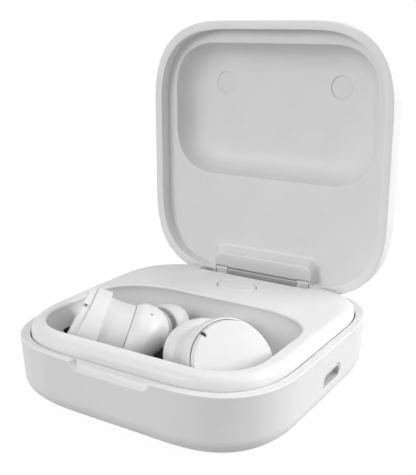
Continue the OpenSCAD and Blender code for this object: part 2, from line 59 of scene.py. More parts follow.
# Points on an ellipse; an arc is its round case
def oval(cx, cz, rx, rz, start, end, steps):
    return [(cx + rx * math.cos(t), cz + rz * math.sin(t)) for t in turn(start, end, steps)]


def arc(cx, cz, r, start, end, steps=5):
    return oval(cx, cz, r, r, start, end, steps)


def part_way(a, b, share):
    return a[0] + (b[0] - a[0]) * share, a[1] + (b[1] - a[1]) * share


# The points that share out a straight edge, without its ends
def edge(a, b, count):
    return [part_way(a, b, i / count) for i in range(1, count)]


# A quarter turn that is squarer than a circle where n is over 2
def corner(cx, cy, rx, ry, n, start, steps=30):
    points = []
    for t in turn(start, start + 90, steps):
        c, s = math.cos(t), math.sin(t)
        k = (abs(c) ** n + abs(s) ** n) ** (-1 / n)
        points.append((cx + rx * c * k, cy + ry * s * k))
    return points


# An outline with the same number of points whatever its size, so that outlines can be joined
def rounded(left, right, front, rear, rear_r, front_r, n):
    a = corner(right - rear_r[0], rear - rear_r[1], *rear_r, n, 0)
    b = corner(left + rear_r[0], rear - rear_r[1], *rear_r, n, 90)
    c = corner(left + front_r[0], front + front_r[1], *front_r, n, 180)
    d = corner(right - front_r[0], front + front_r[1], *front_r, n, 270)
    return (a + edge(a[-1], b[0], 24) + b + edge(b[-1], c[0], 6)
            + c + edge(c[-1], d[0], 96) + d + edge(d[-1], a[0], 6))


# The case in plan, drawn in by inset
def outline(inset):
    w, d, r = CASE_W / 2 - inset, CASE_D / 2 - inset, CORNER_R - inset
    return rounded(-w, w, -d, d, (r, r), (r, r), CORNER_N)


def level(points, z):
    return [(x, y, z) for x, y in points]


draw_in, curve_h, lean, wall_draft = 13.0, 7.0, 0.55, 0.055
outer_r, inner_r = 0.25, 0.2
notch_low = 14.6
wall_rows = [8, 9, 10, 11.5, 13, 13.8, 14.3] + [notch_low + 0.1 * i for i in range(22)]
profile = oval(draw_in, curve_h, draw_in - lean, curve_h, 270, 180, 18)
profile += [(wall_draft * (BASE_H - z), z) for z in wall_rows]
profile += arc(outer_r, BASE_H - outer_r, outer_r, 180, 90) + [(0.7, BASE_H), (1.3, BASE_H)]
profile += arc(RIM_W - inner_r, BASE_H - inner_r, inner_r, 90, 0)
profile += [(RIM_W, 15), (RIM_W, LEDGE_Z), (LEDGE_INSET, LEDGE_Z)]
tub_inset, tub_z, tub_draw, tub_depth = 2.4, 7.6, 12, 6.2
profile += oval(tub_inset + tub_draw, tub_z, tub_draw, tub_depth, 180, 270, 8)


# 0 at low, 1 at high, and smooth between
def eased(low, high, value):
    t = min(1, max(0, (value - low) / (high - low)))
    return t * t * (3 - 2 * t)


notch_x, notch_half, notch_h, notch_round, notch_reach = 0.4, 10.5, 2.25, 2.6, 2.5
notch_depth, notch_taper, notch_bend, notch_soft = 1.8, 0.35, 0.45, 0.35


# The notch pushes the front of the rim back into a scoop with rounded ends
def notched(p):
    x, y, z = p
    if y < -CASE_D / 2 + notch_reach and z > notch_low:
        fall = min(1, (BASE_H - z) / notch_h)
        half = notch_half - notch_round * (1 - math.sqrt(1 - fall ** 2))
        swell = math.sqrt(1 - max(0, (fall - notch_bend) / (1 - notch_bend)) ** 2)
        scoop = -CASE_D / 2 + (notch_depth - notch_taper * fall) * swell
        y += (max(y, scoop) - y) * eased(half + notch_soft, half - notch_soft, abs(x - notch_x))
    return x, y, z


# A skin over rings of points, in metres, with its ends closed where it is capped
def loft(bm, rings, capped=True):
    n = len(rings[0])
    rows = [[bm.verts.new(Vector(p) * MM) for p in ring] for ring in rings]
    for a, b in zip(rows, rows[1:]):
        for j in range(n):
            bm.faces.new((a[j], b[j], b[(j + 1) % n], a[(j + 1) % n]))
    for row in (rows[0], rows[-1]) if capped else ():
        middle = bm.verts.new(sum((v.co for v in row), Vector()) / n)
        for j in range(n):
            bm.faces.new((row[j], row[(j + 1) % n], middle))


def shaded(mesh, sharp):
    mesh.shade_smooth()
    mesh.set_sharp_from_angle(angle=math.radians(sharp))


def piece(bm, name, sharp=38):
    bmesh.ops.remove_doubles(bm, verts=bm.verts, dist=1e-7)
    bmesh.ops.recalc_face_normals(bm, faces=bm.faces)
    mesh = bpy.data.meshes.new(name)
    bm.to_mesh(mesh)
    bm.free()
    shaded(mesh, sharp)
    ob = bpy.data.objects.new(name, mesh)
    bpy.context.scene.collection.objects.link(ob)
    return ob


def lofted(name, rings, sharp=38):
    bm = bmesh.new()
    loft(bm, rings)
    return piece(bm, name, sharp)


base = lofted("BaseShell", [[notched(p) for p in level(outline(inset), z)] for inset, z in profile])


def stadium(length, width, steps=16):
    r, half = width / 2, (length - width) / 2
    return arc(half, 0, r, -90, 90, steps) + arc(-half, 0, r, 90, 270, steps)


def circle(count):
    return [2 * math.pi * j / count for j in range(count)]


hinge = next(joint for joint in frame["joints"] if joint["name"] == "lid_hinge")
HINGE_Y, HINGE_Z = (round(c / MM, 3) for c in hinge["pos_m"][1:])


def bar_cut(r, half, place=lambda p: p):
    section = [(HINGE_Y + r * math.cos(t), HINGE_Z + r * math.sin(t)) for t in circle(64)]
    return lofted("cut", [[place((x, y, z)) for y, z in section] for x in (-half, half)])


def block_cut(x0, x1, y0, y1, z0, z1, place=lambda p: p):
    corners = ((x0, y0), (x1, y0), (x1, y1), (x0, y1))
    return lofted("cut", [[place((x, y, z)) for x, y in corners] for z in (z0, z1)])


# The cutters are taken out of the piece and deleted
def carve(ob, cutters, sharp=38):
    for cutter in cutters:
        cut = ob.modifiers.new("cut", "BOOLEAN")
        cut.operation, cut.solver, cut.object = "DIFFERENCE", "EXACT", cutter
    bpy.context.view_layer.update()
    ob_cut = ob.evaluated_get(bpy.context.evaluated_depsgraph_get())
    mesh = bpy.data.meshes.new_from_object(ob_cut)
    ob.modifiers.clear()
    ob.data = mesh
    for cutter in cutters:
        bpy.data.objects.remove(cutter)
    shaded(mesh, sharp)


port_y, port_z, port_w, port_h = 2.1, 9.5, 9.24, 3.44
port_flare = ((30.5, 0), (35.0, 0), (35.2, 0.03), (35.4, 0.12), (35.6, 0.3), (36.6, 1.3))
port = [[(x, port_y + u, port_z + v) for u, v in stadium(port_w + 2 * g, port_h + 2 * g)]
        for x, g in port_flare]
HINGE_ROOM_R, HINGE_ROOM_HALF = 2.7, 26
gap_half, gap_front, gap_floor = 22.5, 32.3, 15.9
carve(base, [lofted("cut", port), bar_cut(HINGE_ROOM_R, HINGE_ROOM_HALF),
             block_cut(-gap_half, gap_half, gap_front, CASE_D / 2 + 1.6, gap_floor, BASE_H + 1)])


# Moulded or metal skin: faint clouds of tone, uneven gloss and a fine grain
def surface(name, colour, rough, grain=0.12, speck=5200, mottle=0.02, metal=0.0, subsurface=0.0):
    made = bpy.data.materials.new(name)
    made.use_nodes = True
    nodes, links = made.node_tree.nodes, made.node_tree.links
    bsdf = nodes["Principled BSDF"]
    where = nodes.new("ShaderNodeTexCoord")

    def noise(scale, detail):
        made_noise = nodes.new("ShaderNodeTexNoise")
        made_noise.inputs["Scale"].default_value = scale
        made_noise.inputs["Detail"].default_value = detail
        links.new(where.outputs["Object"], made_noise.inputs["Vector"])
        return made_noise.outputs["Fac"]

    tone = nodes.new("ShaderNodeValToRGB")
    dark, light = tone.color_ramp.elements
    dark.position, light.position = 0.3, 0.7
    dark.color = (*[c * (1 - mottle) for c in colour], 1)
    light.color = (*[min(1, c * (1 + mottle)) for c in colour], 1)
    links.new(noise(90, 4), tone.inputs["Fac"])
    links.new(tone.outputs["Color"], bsdf.inputs["Base Color"])

    gloss = nodes.new("ShaderNodeMapRange")
    gloss.inputs["From Min"].default_value = 0.3
    gloss.inputs["From Max"].default_value = 0.7
    gloss.inputs["To Min"].default_value = max(0.02, rough - 0.05)
    gloss.inputs["To Max"].default_value = min(1, rough + 0.06)
    links.new(noise(260, 6), gloss.inputs["Value"])
    links.new(gloss.outputs["Result"], bsdf.inputs["Roughness"])

    bump = nodes.new("ShaderNodeBump")
    bump.inputs["Strength"].default_value = grain
    bump.inputs["Distance"].default_value = 0.03 * MM
    links.new(noise(speck, 2), bump.inputs["Height"])
    links.new(bump.outputs["Normal"], bsdf.inputs["Normal"])

    bsdf.inputs["Metallic"].default_value = metal
    bsdf.inputs["Subsurface Weight"].default_value = subsurface
    bsdf.inputs["Subsurface Radius"].default_value = (MM, MM, MM)
    return made


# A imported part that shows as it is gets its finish
def dressed(material, *nodes):
    for node in nodes:
        for place in frame["nodes"][node].material_slots:
            place.material = material


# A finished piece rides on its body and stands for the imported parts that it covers
def fitted(ob, body, material, slot, *nodes):
    ob.data.materials.clear()
    ob.data.materials.append(material)
    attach(ob, body)
    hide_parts(*nodes)
    dressed(material, *nodes)


shell_white = surface("shell_white", (0.80, 0.80, 0.80), 0.42, grain=0.10)
fitted(base, "base", shell_white, "shell_white", "base_shell")

# CHARGING SOCKET
# A socket drawn from thin steel with a moulded contact tongue, soldered to the board's edge behind the
# port in the right wall. Both keep the shapes that they are packed with.
dressed(surface("socket_steel", (0.75, 0.75, 0.75), 0.5, metal=0.1), "usb_socket")
dressed(surface("tongue_grey", (0.4, 0.4, 0.41), 0.5), "usb_tongue")

# CELL AND FOAM
# The case's flat pouch cell in its dark wrap, seated on a pad of black closed cell foam on the floor of
# the base.
dressed(surface("cell_wrap", (0.05, 0.06, 0.09), 0.4, mottle=0.1), "case_battery")
dressed(surface("foam_pad", (0.06, 0.06, 0.06), 0.9, grain=0.8, speck=1800), "battery_pad")

# MAIN BOARD
# A glass fibre board under green solder mask, held by small steel screws, with the black tact switch
# that the pairing button presses.
board_green = surface("board_green", (0.03, 0.15, 0.07), 0.45, mottle=0.15)
dressed(board_green, "main_board")
dressed(surface("screw_steel", (0.5, 0.5, 0.52), 0.35, metal=1.0), "board_screws")
dressed(surface("switch_black", (0.03, 0.03, 0.03), 0.5), "tact_switch")

# CRADLE DECK
# The white inner moulding that drops into the base and stands on its ledge: a raised deck with rolled
# edges, a deep rounded hollow for the earbuds, a hole for the button and a pocket for the hinge.
DECK_Z, DECK_INSET = 20.0, 2.4
hollow_half, hollow_front, hollow_rear = 29.8, -30.4, 8.8
hollow_r, hollow_spread, hollow_n = 13, 6, 2.3


def hollow(inset):
    w, r = hollow_half - inset, hollow_r - 0.5 * inset
    front, rear = hollow_front + inset, hollow_rear - inset
    return rounded(-w, w, front, rear, (r + hollow_spread, r), (r, r), hollow_n)


rear_step, step_top, step_low, step_from, step_full = 0.4, 17.5, 12.5, -6, 4


# The hollow at one height: its rear wall comes forward a little lower down
def bowl(inset, z):
    forward = rear_step * eased(step_top, step_low, z)
    return [(x, y - forward * eased(step_from, step_full, y), z) for x, y in hollow(inset)]


def merged(first, second, share):
    return [part_way(a, b, share) for a, b in zip(first, second)]


# A smooth line through a few points
def curve(points, steps=5):
    points = [points[0], *points, points[-1]]
    made = []
    for p, q, r, s in zip(points, points[1:], points[2:], points[3:]):
        for i in range(steps):
            t = i / steps
            made.append(tuple(0.5 * (2 * b + (c - a) * t + (2 * a - 5 * b + 4 * c - d) * t * t
                                     + (3 * b - a - 3 * c + d) * t ** 3)
                              for a, b, c, d in zip(p, q, r, s)))
    return made + [points[-1]]


deck_wall, deck_under, deck_foot = 1.2, 18.2, LEDGE_Z + 0.02
edge_z, edge_h, lip_r = 17.6, 2.4, 0.4
rim_half, rim_front, rim_rear = 31.4, -31.8, 25.0
rim_rear_r, rim_front_r = (21, 17), (20.1, 20.1)
deck_rim = rounded(-rim_half, rim_half, rim_front, rim_rear, rim_rear_r, rim_front_r, CORNER_N)
bed_points = ((0.85, 13), (2, 9.8), (3.6, 8.1), (7, 5.75), (10.6, 4.85))
bed = curve(((0.3, 19.2), (0.0, 18.2), (0.1, 16.5), *bed_points))
rings = [level(hollow(i - deck_wall), z - deck_wall) for i, z in reversed(bed_points)]
rings += [level(hollow(0.6 - deck_wall), deck_under)]
rings += [level(outline(LEDGE_INSET), z) for z in (deck_under, deck_foot)]
rings += [level(outline(DECK_INSET), z) for z in (deck_foot, 15, 16.6)]
rings += [level(merged(outline(DECK_INSET), deck_rim, 1 - math.cos(u)), edge_z + edge_h * math.sin(u))
          for u in turn(0, 90, 14)]
rings += [level(merged(deck_rim, hollow(0.05), share), DECK_Z) for share in (0.25, 0.5, 0.75, 0.95)]
rings += [level(hollow(i), z) for i, z in arc(0.05, DECK_Z - lip_r, lip_r, 90, -30, 8)]
rings += [bowl(i, z) for i, z in bed]
deck = lofted("CradleDeck", rings)

BUTTON_Y = 19.3
hole_l, hole_w = 11.35, 7.04
hole = [[(u, BUTTON_Y + v, z) for u, v in stadium(hole_l + 2 * g, hole_w + 2 * g)]
        for z, g in ((15, 0), (19.7, 0), (19.85, 0.04), (20, 0.15), (21, 1.15))]


# A rectangle with round front corners
def box_ring(half, front, rear, r, z, steps=8):
    sharp = 0.01
    return level(corner(half - sharp, rear - sharp, sharp, sharp, 2, 0, 1)
                 + corner(-half + sharp, rear - sharp, sharp, sharp, 2, 90, 1)
                 + corner(-half + r, front + r, r, r, 2, 180, steps)
                 + corner(half - r, front + r, r, r, 2, 270, steps), z)


pocket_half, pocket_front, pocket_r = 17.2, 27.0, 0.8
pocket = [box_ring(pocket_half + g, pocket_front - g, 40, pocket_r + g, z)
          for z, g in ((15.2, 0), (19.55, 0), (19.8, 0.08), (20, 0.25), (20.3, 0.7))]
carve(deck, [lofted("cut", hole), lofted("cut", pocket), bar_cut(HINGE_ROOM_R, HINGE_ROOM_HALF)])
cradle_white = surface("cradle_white", (0.81, 0.81, 0.81), 0.40, grain=0.08)
fitted(deck, "base", cradle_white, "cradle_white", "cradle_deck")

# CRADLE SHADE SHEET
# A thin black sheet of painted shade laid in the bottom of the hollow, where the deep shade falls. A tab at
# each end turns up the wall behind an earbud's face as a painted shadow.
shade_sheet_edge, shade_sheet_half = 5.9, 20
tab_front, tab_rear, tab_top = -17.6, -11.6, 14.2
shade_sheet_sunk, shade_sheet_proud = 0.3, 0.06


def shade_sheet_ring(inset, z, proud):
    return [(x, y, h + proud) for x, y, h in bowl(inset + proud, z)]


shade_sheet_bed = [(i, z) for i, z in bed if z < tab_top]
# A sheet of painted shade: its near black darkens the hollow's floor and the wall beside each face
shade_sheet = lofted("CradlePaintedShade", [shade_sheet_ring(i, z, -shade_sheet_sunk) for i, z in reversed(shade_sheet_bed)]
             + [shade_sheet_ring(i, z, shade_sheet_proud) for i, z in shade_sheet_bed])
carve(shade_sheet, [block_cut(-shade_sheet_half, shade_sheet_half, -40, 20, shade_sheet_edge, BASE_H),
            block_cut(-40, 40, -40, tab_front, shade_sheet_edge, BASE_H),
            block_cut(-40, 40, tab_rear, 20, shade_sheet_edge, BASE_H)])
# Its near black colour is painted shade, not a finish that the case has
fitted(shade_sheet, "base", surface("painted_shade_black", (0.015, 0.015, 0.015), 0.85, grain=0.3), "foam_pad")

# CHARGING CONTACTS
# Sprung gold plated pins that stand up through the black sheet of painted shade to meet each earbud, on a
# strip of amber polyimide film under the cradle.
contact_gold = surface("contact_gold", (0.75, 0.52, 0.2), 0.28, metal=1.0)
dressed(contact_gold, "charge_pins")
dressed(surface("flex_amber", (0.45, 0.22, 0.05), 0.35, mottle=0.1), "charge_flex")

# MAGNETS
# A nickel plated bar glued behind the front wall of the base and another in the front of the lid, which
# hold the case shut.
dressed(surface("magnet_nickel", (0.5, 0.5, 0.52), 0.3, metal=1.0), "base_magnet", "lid_magnet")

# PAIRING BUTTON
# A small oval push button in the same white plastic, flush in the deck with a fine gap all round and a
# flange below that keeps it in.
button_l, button_w = 10.8, 6.8
button_profile = ((17.3, -0.7), (18.18, -0.7), (18.18, 0), (19.7, 0), (19.85, 0.04),
                  (19.97, 0.14), (20.03, 0.35), (20.05, 1.0), (20.05, 2.2))
rings = [[(u, BUTTON_Y + v, z) for u, v in stadium(button_l - 2 * g, button_w - 2 * g)]
         for z, g in button_profile]
button = lofted("PairingButton", rings)
button_white = surface("button_white", (0.81, 0.81, 0.81), 0.38, grain=0.06)
fitted(button, "button", button_white, "button_white", "pairing_button")

# HINGE MOUNT
# A white plate screwed down in the deck's pocket, with two square arms whose rear halves are the round
# outer knuckles that hold the pin.
KNUCKLE_R = 1.2
ARM_L, ARM_LEFTS = 3.6, (-14.8, 11.2)
mount_front, mount_low, mount_top = 27.3, 15.22, 16.62
bm = bmesh.new()
for half, rear in ((16.9, 31.4), (14.2, 34.0)):
    plate = ((-half, mount_front), (half, mount_front), (half, rear), (-half, rear))
    loft(bm, [level(plate, z) for z in (mount_low, mount_top)])
arm = [(32.6, 15.7), (34.0, 15.7), (34.0, 16.95)] + arc(HINGE_Y, HINGE_Z, KNUCKLE_R, -90, 90, 16)
arm += arc(HINGE_Y - 0.75, HINGE_Z + 0.7, 0.45, 90, 180) + [(33.1, 17.0), (32.6, 17.0)]
arm_middle = (sum(y for y, z in arm) / len(arm), sum(z for y, z in arm) / len(arm))
for x in ARM_LEFTS:
    loft(bm, [[(x + along, *part_way(arm_middle, p, share)) for p in arm]
              for along, share in ((0, 0.97), (0.05, 1), (ARM_L - 0.05, 1), (ARM_L, 0.97))])
mount_white = surface("mount_white", (0.78, 0.78, 0.78), 0.45)
fitted(piece(bm, "HingeMount"), "base", mount_white, "cradle_white", "hinge_mount")

# HINGE PIN
# A ground steel rod pressed into the two outer knuckles. The roll of the hinge leaf turns on it with a
# little clearance.
dressed(surface("pin_steel", (0.62, 0.62, 0.64), 0.3, metal=1.0), "hinge_pin")

# LID SHELL
# The upper half of the case, moulded like the base: a shallow dome with a flat rim that meets the base's
# rim, notched at the back for the hinge. It stands open at a right angle to the base.


# Where a point of the shut lid lies with the lid open
def opened(p):
    return p[0], HINGE_Y + p[2] - HINGE_Z, HINGE_Z - (p[1] - HINGE_Y)


lid_draw, lid_rise, lid_curve_z = 14.0, 8.1, 21.5
lid_rim, rim_z, rim_in_r, rim_out_r = RIM_W + 0.2, BASE_H + 0.04, 0.12, 0.28
panel_seat = 21.4
inside_draw, inside_wall, inside_z, inside_rise = 13, 2, 21.7, 6.8
profile = oval(inside_wall + inside_draw, inside_z, inside_draw, inside_rise, 90, 180, 8)
profile += [(3.2, panel_seat), (lid_rim, panel_seat), (lid_rim, 19)]
profile += arc(lid_rim - rim_in_r, rim_z + rim_in_r, rim_in_r, 0, -90) + [(1.2, rim_z)]
profile += arc(rim_out_r, rim_z + rim_out_r, rim_out_r, -90, -180)
profile += [(0, 18.5), (0, 20), (0, 21)]
profile += oval(lid_draw, lid_curve_z, lid_draw, lid_rise, 180, 90, 18)
lid = lofted("LidShell", [[opened(p) for p in level(outline(i), z)] for i, z in profile])
lid_notch_half, lid_notch_front, lid_notch_top = 15.1, 31.8, 19.7
carve(lid, [block_cut(-lid_notch_half, lid_notch_half, lid_notch_front, CASE_D / 2 + 2.6,
                      BASE_H - 1, lid_notch_top, opened)])
fitted(lid, "lid", shell_white, "shell_white", "lid_shell")

# LID LINER
# The inner panel of the lid, a satin moulding a little greyer than the shell: a flat strip by the hinge
# and a rounded hollow that clears the earbuds, with seats for two soft pads in its floor.
PAD_X, PAD_Y, PAD_R = 17.8, -19.1, 3.1
dish_half, dish_front, dish_rear = 30.4, -30.2, 6.2


def lid_hollow(inset):
    w, r = dish_half - inset, hollow_r - 0.5 * inset
    return rounded(-w, w, dish_front + inset, dish_rear - inset, (r, r), (r, r), hollow_n)


panel_z, dish_lip, dish_r = 20.5, -0.45, 0.3
dish = curve(((9, 27.4), (5.6, 27.15), (2.8, 26.1), (1.0, 24.2), (0.2, 22.2), (-0.15, 20.8)))
dish += arc(dish_lip, panel_z + dish_r, dish_r, 0, -90, 6)
dish_back = ((-0.95, 21.38), (0.1, 24.6), (1.9, 26.8), (4.7, 28.05), (9, 28.3))
panel = outline(lid_rim - 0.06)
rings = [level(lid_hollow(i), z) for i, z in dish]
rings += [level(merged(lid_hollow(dish_lip), panel, share), panel_z) for share in (0.3, 0.65, 1)]
rings += [level(panel, panel_seat - 0.02)]
rings += [level(lid_hollow(i), z) for i, z in dish_back]
liner = lofted("LidLiner", [[opened(p) for p in ring] for ring in rings])


# A turned shape: radii and distances along an axis that place sets in the case
def lathe(bm, shape, place, segments=64):
    rings = [[place(r * math.cos(t), r * math.sin(t), s) for t in circle(segments)] for r, s in shape]
    loft(bm, rings, capped=False)


seat = ((0, 26), (3.5, 26), (PAD_R + 0.04, 27.36), (PAD_R + 0.02, 27.5), (PAD_R + 0.02, 27.9), (0, 27.9))
seat_cuts = []
for sign in (-1, 1):
    bm = bmesh.new()
    lathe(bm, seat, lambda x, y, s: opened((sign * PAD_X + x, PAD_Y + y, s)))
    seat_cuts.append(piece(bm, "cut"))
carve(liner, seat_cuts)
liner_white = surface("liner_white", (0.74, 0.74, 0.74), 0.5, grain=0.12)
fitted(liner, "lid", liner_white, "liner_white", "lid_liner")

# LID PADS
# Two soft white discs pressed into round seats in the floor of the lid's hollow, over the earbuds. Each
# leans a little towards the middle.
pad_lean, pad_back = 0.05, 27.88
pad_shape = ((0, pad_back), (PAD_R, pad_back), (PAD_R, 27.6), (PAD_R - 0.04, 27.56), (2.95, 27.54),
             (2.5, 27.53), (0, 27.52))
bm = bmesh.new()
for sign in (-1, 1):
    lathe(bm, pad_shape, lambda x, y, s: opened((sign * PAD_X + x, PAD_Y + y,
                                                 s - pad_lean * sign * x * (s < pad_back - 0.08))))
pad_white = surface("pad_white", (0.73, 0.73, 0.73), 0.55, grain=0.15)
fitted(piece(bm, "LidPads"), "lid", pad_white, "liner_white", "lid_pads")

# HINGE BLOCK
# A raised white cover moulded on the lid's panel over the hinge leaf: it flares into the panel, its corners
# are rounded, and thin cheeks run down beside the knuckles.
block_half, block_front, block_rear = 15.6, 28.75, 34.1
block_edge_r, block_edge_z = 0.6, 17.9
leaf_bed_half, leaf_room, barrel_room, arm_room = 11.2, 0.04, 1.62, 0.1
leaf_front, leaf_rear, leaf_low, leaf_top = 29.7, 34.0, 18.74, 19.5
block_past, arm_low, arm_top = 36, 16.9, 19.8
flare = ((16.6, 26.8, 20.46), (16.15, 27.25, 20.3), (15.9, 27.55, 20.0), (15.8, 27.7, 19.6),
         (15.7, 28.2, 18.7))
rings = [box_ring(half, front, block_rear, 2.4, z) for half, front, z in flare]
rings += [box_ring(block_half - i, block_front + i, block_rear, 2.2, z)
          for i, z in arc(block_edge_r, block_edge_z, block_edge_r, 180, 270, 8)]
block = lofted("HingeBlock", [[opened(p) for p in ring] for ring in rings])
cutters = [bar_cut(barrel_room, leaf_bed_half - 0.05, opened)]
cutters += [block_cut(x - arm_room, x + ARM_L + arm_room, HINGE_Y - 1.5, block_past, arm_low, arm_top, opened)
            for x in ARM_LEFTS]
cutters += [block_cut(-leaf_bed_half, leaf_bed_half, leaf_front - 0.1, block_past,
                      leaf_low - leaf_room, leaf_top + leaf_room, opened)]
carve(block, cutters)
fitted(block, "lid", liner_white, "liner_white", "hinge_block")

# HINGE LEAF
# A grey steel leaf let into the block on the lid; its rolled edge is flattened at the front and turns on
# the pin.
roll_half, leaf_half, roll_r = 11.05, 11, 0.3
roll = arc(33.4, 17.85, roll_r, 270, 180) + arc(33.4, 18.9, roll_r, 180, 90)
roll += arc(HINGE_Y, HINGE_Z, KNUCKLE_R, 75, -75, 16)
plate = ((leaf_front, leaf_low), (leaf_rear, leaf_low), (leaf_rear, leaf_top), (leaf_front, leaf_top))
bm = bmesh.new()
loft(bm, [[(x, y, z) for y, z in roll] for x in (-roll_half, roll_half)])
loft(bm, [[opened((x, y, z)) for y, z in plate] for x in (-leaf_half, leaf_half)])
leaf_grey = surface("leaf_grey", (0.5, 0.5, 0.505), 0.5, metal=0.1, grain=0.2)
fitted(piece(bm, "HingeLeaf"), "lid", leaf_grey, "hinge_dark", "hinge_leaf")

# EARBUD FACES
# The domed outer cap of each earbud in gloss white plastic, snapped into its ring. It leans and swells
# towards the front, and a fine slot in its edge, backed by dark mesh, lets sound in to the microphone.
HANDS = ((1, "right_bud", "RightBud"), (-1, "left_bud", "LeftBud"))
YAW, TILT = math.radians(31.8), math.radians(19.9)
BUD = Vector((21.6, -20.15, 17.87))
OUT = Vector((math.cos(YAW) * math.cos(TILT), -math.sin(YAW) * math.cos(TILT), math.sin(TILT)))
DOWN = Vector((math.cos(YAW) * math.sin(TILT), -math.sin(YAW) * math.sin(TILT), -math.cos(TILT)))
ASIDE = Vector((-math.sin(YAW), -math.cos(YAW), 0))


# A point beside the axis through the middle of an earbud, mirrored for the left one
def on_bud(side, x, y, s):
    p = BUD + DOWN * x + ASIDE * y - OUT * s
    return side * p.x, p.y, p.z


swell, swell_at, swell_spread = 0.09, -1.05, 0.62
lean_out, lean_slope, lean_depth = 0.6, 0.14, 5.5


# The same for the face and ring, whose plane leans and whose lower front swells
def leaning(side, x, y, s):
    k = 1 + swell * math.exp(-((math.atan2(y, x) - swell_at) / swell_spread) ** 2)
    shift = (lean_out - lean_slope * x) * min(1, max(0, 1 - s / lean_depth))
    return on_bud(side, x * k, y * k, s + shift)


face_r, face_h, face_edge_h, face_dome = 9.3, 2.05, 3.75, 300
edge_power, edge_blend = 26, 9


# The face's dome runs into its rounded edge without a crease
def face_height(r):
    dome = face_h - r * r / face_dome
    rim = face_edge_h * max(0, 1 - (r / face_r) ** edge_power) ** 0.5
    if rim <= 0:
        return 0
    return -math.log(math.exp(-edge_blend * dome) + math.exp(-edge_blend * rim)) / edge_blend


mic_turn, mic_r = math.radians(143), 8.95
mic_l, mic_w, mic_floor, mic_gap = 1.3, 0.8, 0.7, 0.02


def mic_ring(side, length, width, s):
    c, n = math.cos(mic_turn), math.sin(mic_turn)
    return [on_bud(side, c * (mic_r + u) - n * v, n * (mic_r + u) + c * v, s)
            for u, v in stadium(length, width, 8)]


bud_white = surface("bud_white", (0.78, 0.78, 0.78), 0.38, grain=0.03)
mic_dark = surface("mic_dark", (0.05, 0.05, 0.055), 0.6, grain=0.4)
face_rows = [0.4 * i for i in range(20)] + [8 + 0.1 * i for i in range(12)]
face_rows += [9.13, 9.17, 9.2, 9.23, 9.26, 9.28, 9.295, face_r]
face_shape = [(r, -face_height(r)) for r in face_rows] + [(0, 0)]
for side, body, name in HANDS:
    bm = bmesh.new()
    lathe(bm, face_shape, lambda x, y, s: leaning(side, x, y, s), 120)
    face = piece(bm, name + "Face")
    carve(face, [lofted("cut", [mic_ring(side, mic_l, mic_w, s) for s in (mic_floor, -3.2)])])
    fitted(face, body, bud_white, "bud_white", body + "_face")
    mic_mesh = lofted(name + "MicMesh", [mic_ring(side, mic_l - 2 * mic_gap, mic_w - 2 * mic_gap, s)
                                         for s in (mic_floor + mic_gap, 0.5)])
    fitted(mic_mesh, body, mic_dark, "driver_black")

# EARBUD RINGS
# The broad gloss white ring that holds each face, with a fine seam groove round the face and a step
# behind that slips over the sleeve of the housing.
ring_r, ring_l, groove_r = 9.75, 5.5, 9.47
sleeve_r, step_r, step_s, groove_s = 7.77, 8.15, 4.3, 0.75
ring_shape = arc(9.53, 0.02, 0.06, 180, 270, 2) + arc(ring_r - 0.2, 0.16, 0.2, -90, 0) + [(ring_r, 2.5)]
ring_shape += arc(ring_r - 0.3, ring_l - 0.3, 0.3, 0, 90)
ring_shape += [(sleeve_r, ring_l), (sleeve_r, step_s), (step_r, step_s), (step_r, groove_s)]
ring_shape += [(groove_r, groove_s), (groove_r, 0.02)]
for side, body, name in HANDS:
    bm = bmesh.new()
    lathe(bm, ring_shape, lambda x, y, s: leaning(side, x, y, s), 120)
    fitted(piece(bm, name + "Ring"), body, bud_white, "bud_white", body + "_ring")

# GRIP BANDS
# A soft, slightly waisted sleeve of matt grey white silicone, stretched round each housing between the
# ring and the bulge.
band_front, band_rear, band_edge_r = ring_l + 0.02, 11.96, 0.28
band_shape = [(sleeve_r, band_front), (8.45, band_front)]
band_shape += curve(((8.45, 5.6), (8.37, 7.5), (8.38, 9.5), (8.58, 11.6)), 4)
band_shape += arc(8.3, band_rear - band_edge_r, band_edge_r, 0, 90)
band_shape += [(sleeve_r, band_rear), (sleeve_r, band_front)]
grip_silicone = surface("grip_silicone", (0.73, 0.73, 0.735), 0.62, grain=0.2, speck=3800)
for side, body, name in HANDS:
    bm = bmesh.new()
    lathe(bm, band_shape, lambda x, y, s: on_bud(side, x, y, s), 120)
    fitted(piece(bm, name + "Band"), body, grip_silicone, "grip_silicone", body + "_band")

# EARBUD HOUSINGS
# The rounded inner half of each earbud, a gloss white moulding that bulges to fit the ear and runs out
# into a hollow sound nozzle.
ROOT = Vector((9.13, -12.5, 15.5))
NOZZLE_LIFT, NOZZLE_TURN = math.radians(-8.1), math.radians(93.1)
MOUTH = Vector((math.cos(NOZZLE_LIFT) * math.cos(NOZZLE_TURN),
                math.cos(NOZZLE_LIFT) * math.sin(NOZZLE_TURN), math.sin(NOZZLE_LIFT)))
MOUTH_A = MOUTH.cross(Vector((0, 0, 1))).normalized()
MOUTH_B = MOUTH.cross(MOUTH_A)


# A point beside the axis of the sound nozzle
def on_nozzle(side, x, y, s):
    p = ROOT + MOUTH_A * x + MOUTH_B * y + MOUTH * s
    return side * p.x, p.y, p.z


